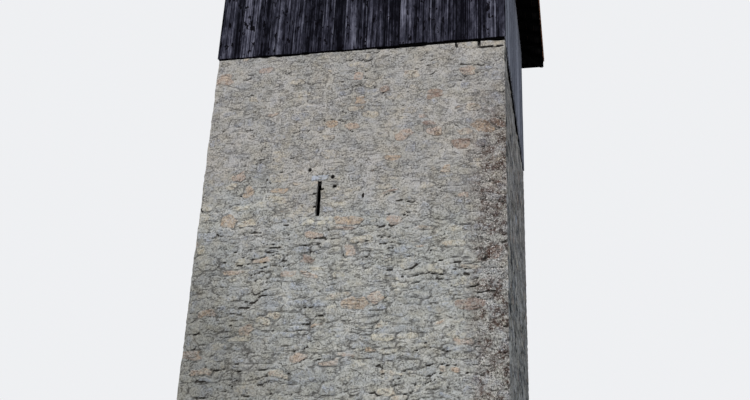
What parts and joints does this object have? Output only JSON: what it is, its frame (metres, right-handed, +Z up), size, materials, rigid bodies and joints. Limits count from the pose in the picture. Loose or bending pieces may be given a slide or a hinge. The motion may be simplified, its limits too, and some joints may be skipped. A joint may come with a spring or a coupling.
{
  "type": "stone watchtower",
  "caption": "Square rubble-stone watchtower with narrow loopholes, a board-clad timber top storey and a low hipped roof with deep eaves",
  "frame": {"origin": "centre of the tower's foot at ground level", "axes": "+Z up, -Y out of the front face with the pictured loophole, +X to the right as seen from the front"},
  "size_m": [8.4, 8.4, 14.9398],
  "materials": {
    "masonry": "rubble laid in pale lime mortar",
    "dressed_stone": "pale, worn lintel and sill stones",
    "frame_timber": "old, dark, rough-sawn",
    "weathered_boards": "weathered, almost black, with grey streaks",
    "floor_boards": "rough-sawn, dusty",
    "roof_timber": "smoke-dark",
    "door_planks": "weathered planks",
    "iron": "rusted black",
    "clay_tiles": "weathered fired clay"
  },
  "bodies": {
    "root": {"apex_cap": "clay_tiles", "braces": "frame_timber", "corner_posts": "frame_timber", "cross_fascias": "weathered_boards", "cross_sill_beams": "frame_timber", "cross_wall_plates": "frame_timber", "door_frame": "frame_timber", "door_inner_lintel": "frame_timber", "door_leaf": "door_planks", "door_lintel": "dressed_stone", "door_threshold": "dressed_stone", "first_floor_boards": "floor_boards", "first_floor_joists": "frame_timber", "front_cladding": "weathered_boards", "front_rafters": "roof_timber", "front_roof_boards": "roof_timber", "front_roof_tiles": "clay_tiles", "front_wall": "masonry", "hinge_straps": "iron", "hip_rafters": "roof_timber", "hip_tiles": "clay_tiles", "king_post": "frame_timber", "left_cladding": "weathered_boards", "left_rafters": "roof_timber", "left_roof_boards": "roof_timber", "left_roof_tiles": "clay_tiles", "left_wall": "masonry", "long_fascias": "weathered_boards", "long_sill_beams": "frame_timber", "long_wall_plates": "frame_timber", "loophole_inner_lintels": "frame_timber", "loophole_lintels": "dressed_stone", "loophole_sills": "dressed_stone", "rails": "frame_timber", "rear_cladding": "weathered_boards", "rear_rafters": "roof_timber", "rear_roof_boards": "roof_timber", "rear_roof_tiles": "clay_tiles", "rear_wall": "masonry", "right_cladding": "weathered_boards", "right_rafters": "roof_timber", "right_roof_boards": "roof_timber", "right_roof_tiles": "clay_tiles", "right_wall": "masonry", "tie_beam": "frame_timber", "upper_floor_boards": "floor_boards", "upper_floor_joists": "frame_timber", "wall_posts": "frame_timber"}
  },
  "joints": []
}
